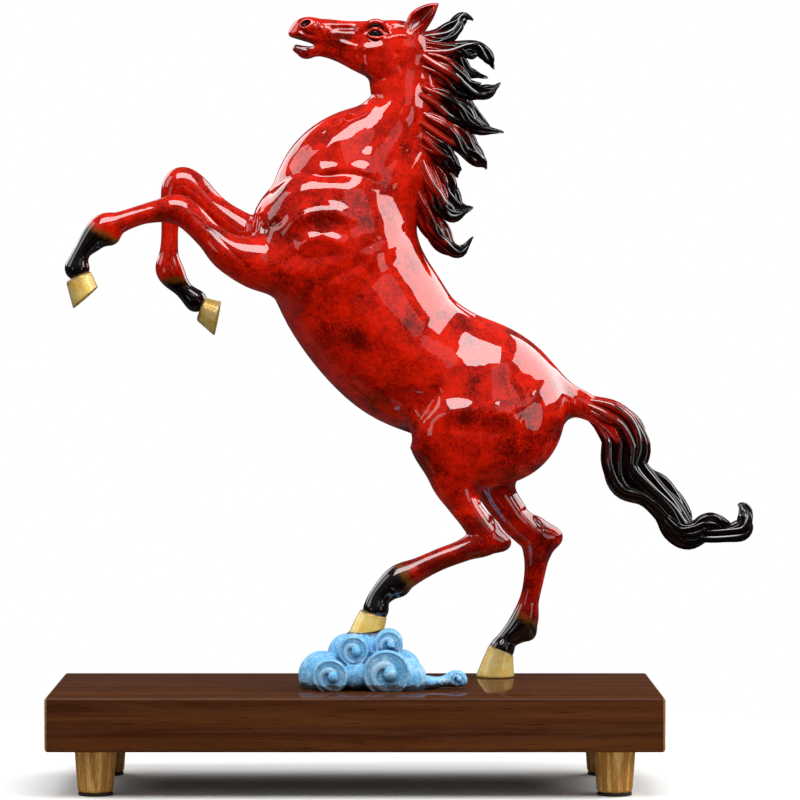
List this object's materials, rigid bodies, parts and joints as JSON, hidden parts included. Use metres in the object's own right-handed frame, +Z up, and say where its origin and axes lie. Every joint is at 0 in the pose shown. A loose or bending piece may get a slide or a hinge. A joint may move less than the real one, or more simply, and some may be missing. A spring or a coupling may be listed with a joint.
{
  "type": "rearing horse figurine on a wooden base",
  "caption": "Rearing horse cast in copper and lacquered red, hooves gilt, one hind hoof on a blue cloud, screwed to a walnut board on brass feet.",
  "frame": {"origin": "middle of the whole figurine's footprint box, on the floor under the rubber pads", "axes": "+Z up, -X towards the horse's muzzle and raised forelegs, +Y towards the horse's right side"},
  "size_m": [0.446, 0.16, 0.4964],
  "materials": {
    "red_lacquer": "gloss translucent red lacquer with dark mottling over copper",
    "black_lacquer": "gloss black lacquer fading from dark red",
    "gilt": "satin gilding",
    "blue_enamel": "hammered light blue paint, worn on the ridges",
    "black_glass": "polished",
    "walnut": "gloss varnish over straight grain",
    "brass": "polished",
    "rubber": "matt",
    "screw_steel": "zinc plated"
  },
  "bodies": {
    "root": {"walnut_board": "walnut", "brass_foot_front_left": "brass", "brass_foot_front_right": "brass", "brass_foot_back_left": "brass", "brass_foot_back_right": "brass", "rubber_pad_front_left": "rubber", "rubber_pad_front_right": "rubber", "rubber_pad_back_left": "rubber", "rubber_pad_back_right": "rubber", "foot_screw_front_left": "screw_steel", "foot_screw_front_right": "screw_steel", "foot_screw_back_left": "screw_steel", "foot_screw_back_right": "screw_steel", "hoof_screw_near": "screw_steel", "hoof_screw_far": "screw_steel", "hoof_washer_near": "screw_steel", "hoof_washer_far": "screw_steel", "cloud_screw_left": "screw_steel", "cloud_screw_right": "screw_steel", "cloud_casting": "blue_enamel", "body_casting": "red_lacquer", "head_casting": "red_lacquer", "foreleg_left_casting": "red_lacquer", "foreleg_right_casting": "red_lacquer", "hindleg_left_casting": "red_lacquer", "hindleg_right_casting": "red_lacquer", "foreleg_left_hoof": "gilt", "foreleg_right_hoof": "gilt", "hindleg_left_hoof": "gilt", "hindleg_right_hoof": "gilt", "mane_casting": "black_lacquer", "tail_casting": "black_lacquer", "eye_left": "black_glass", "eye_right": "black_glass"}
  },
  "joints": []
}
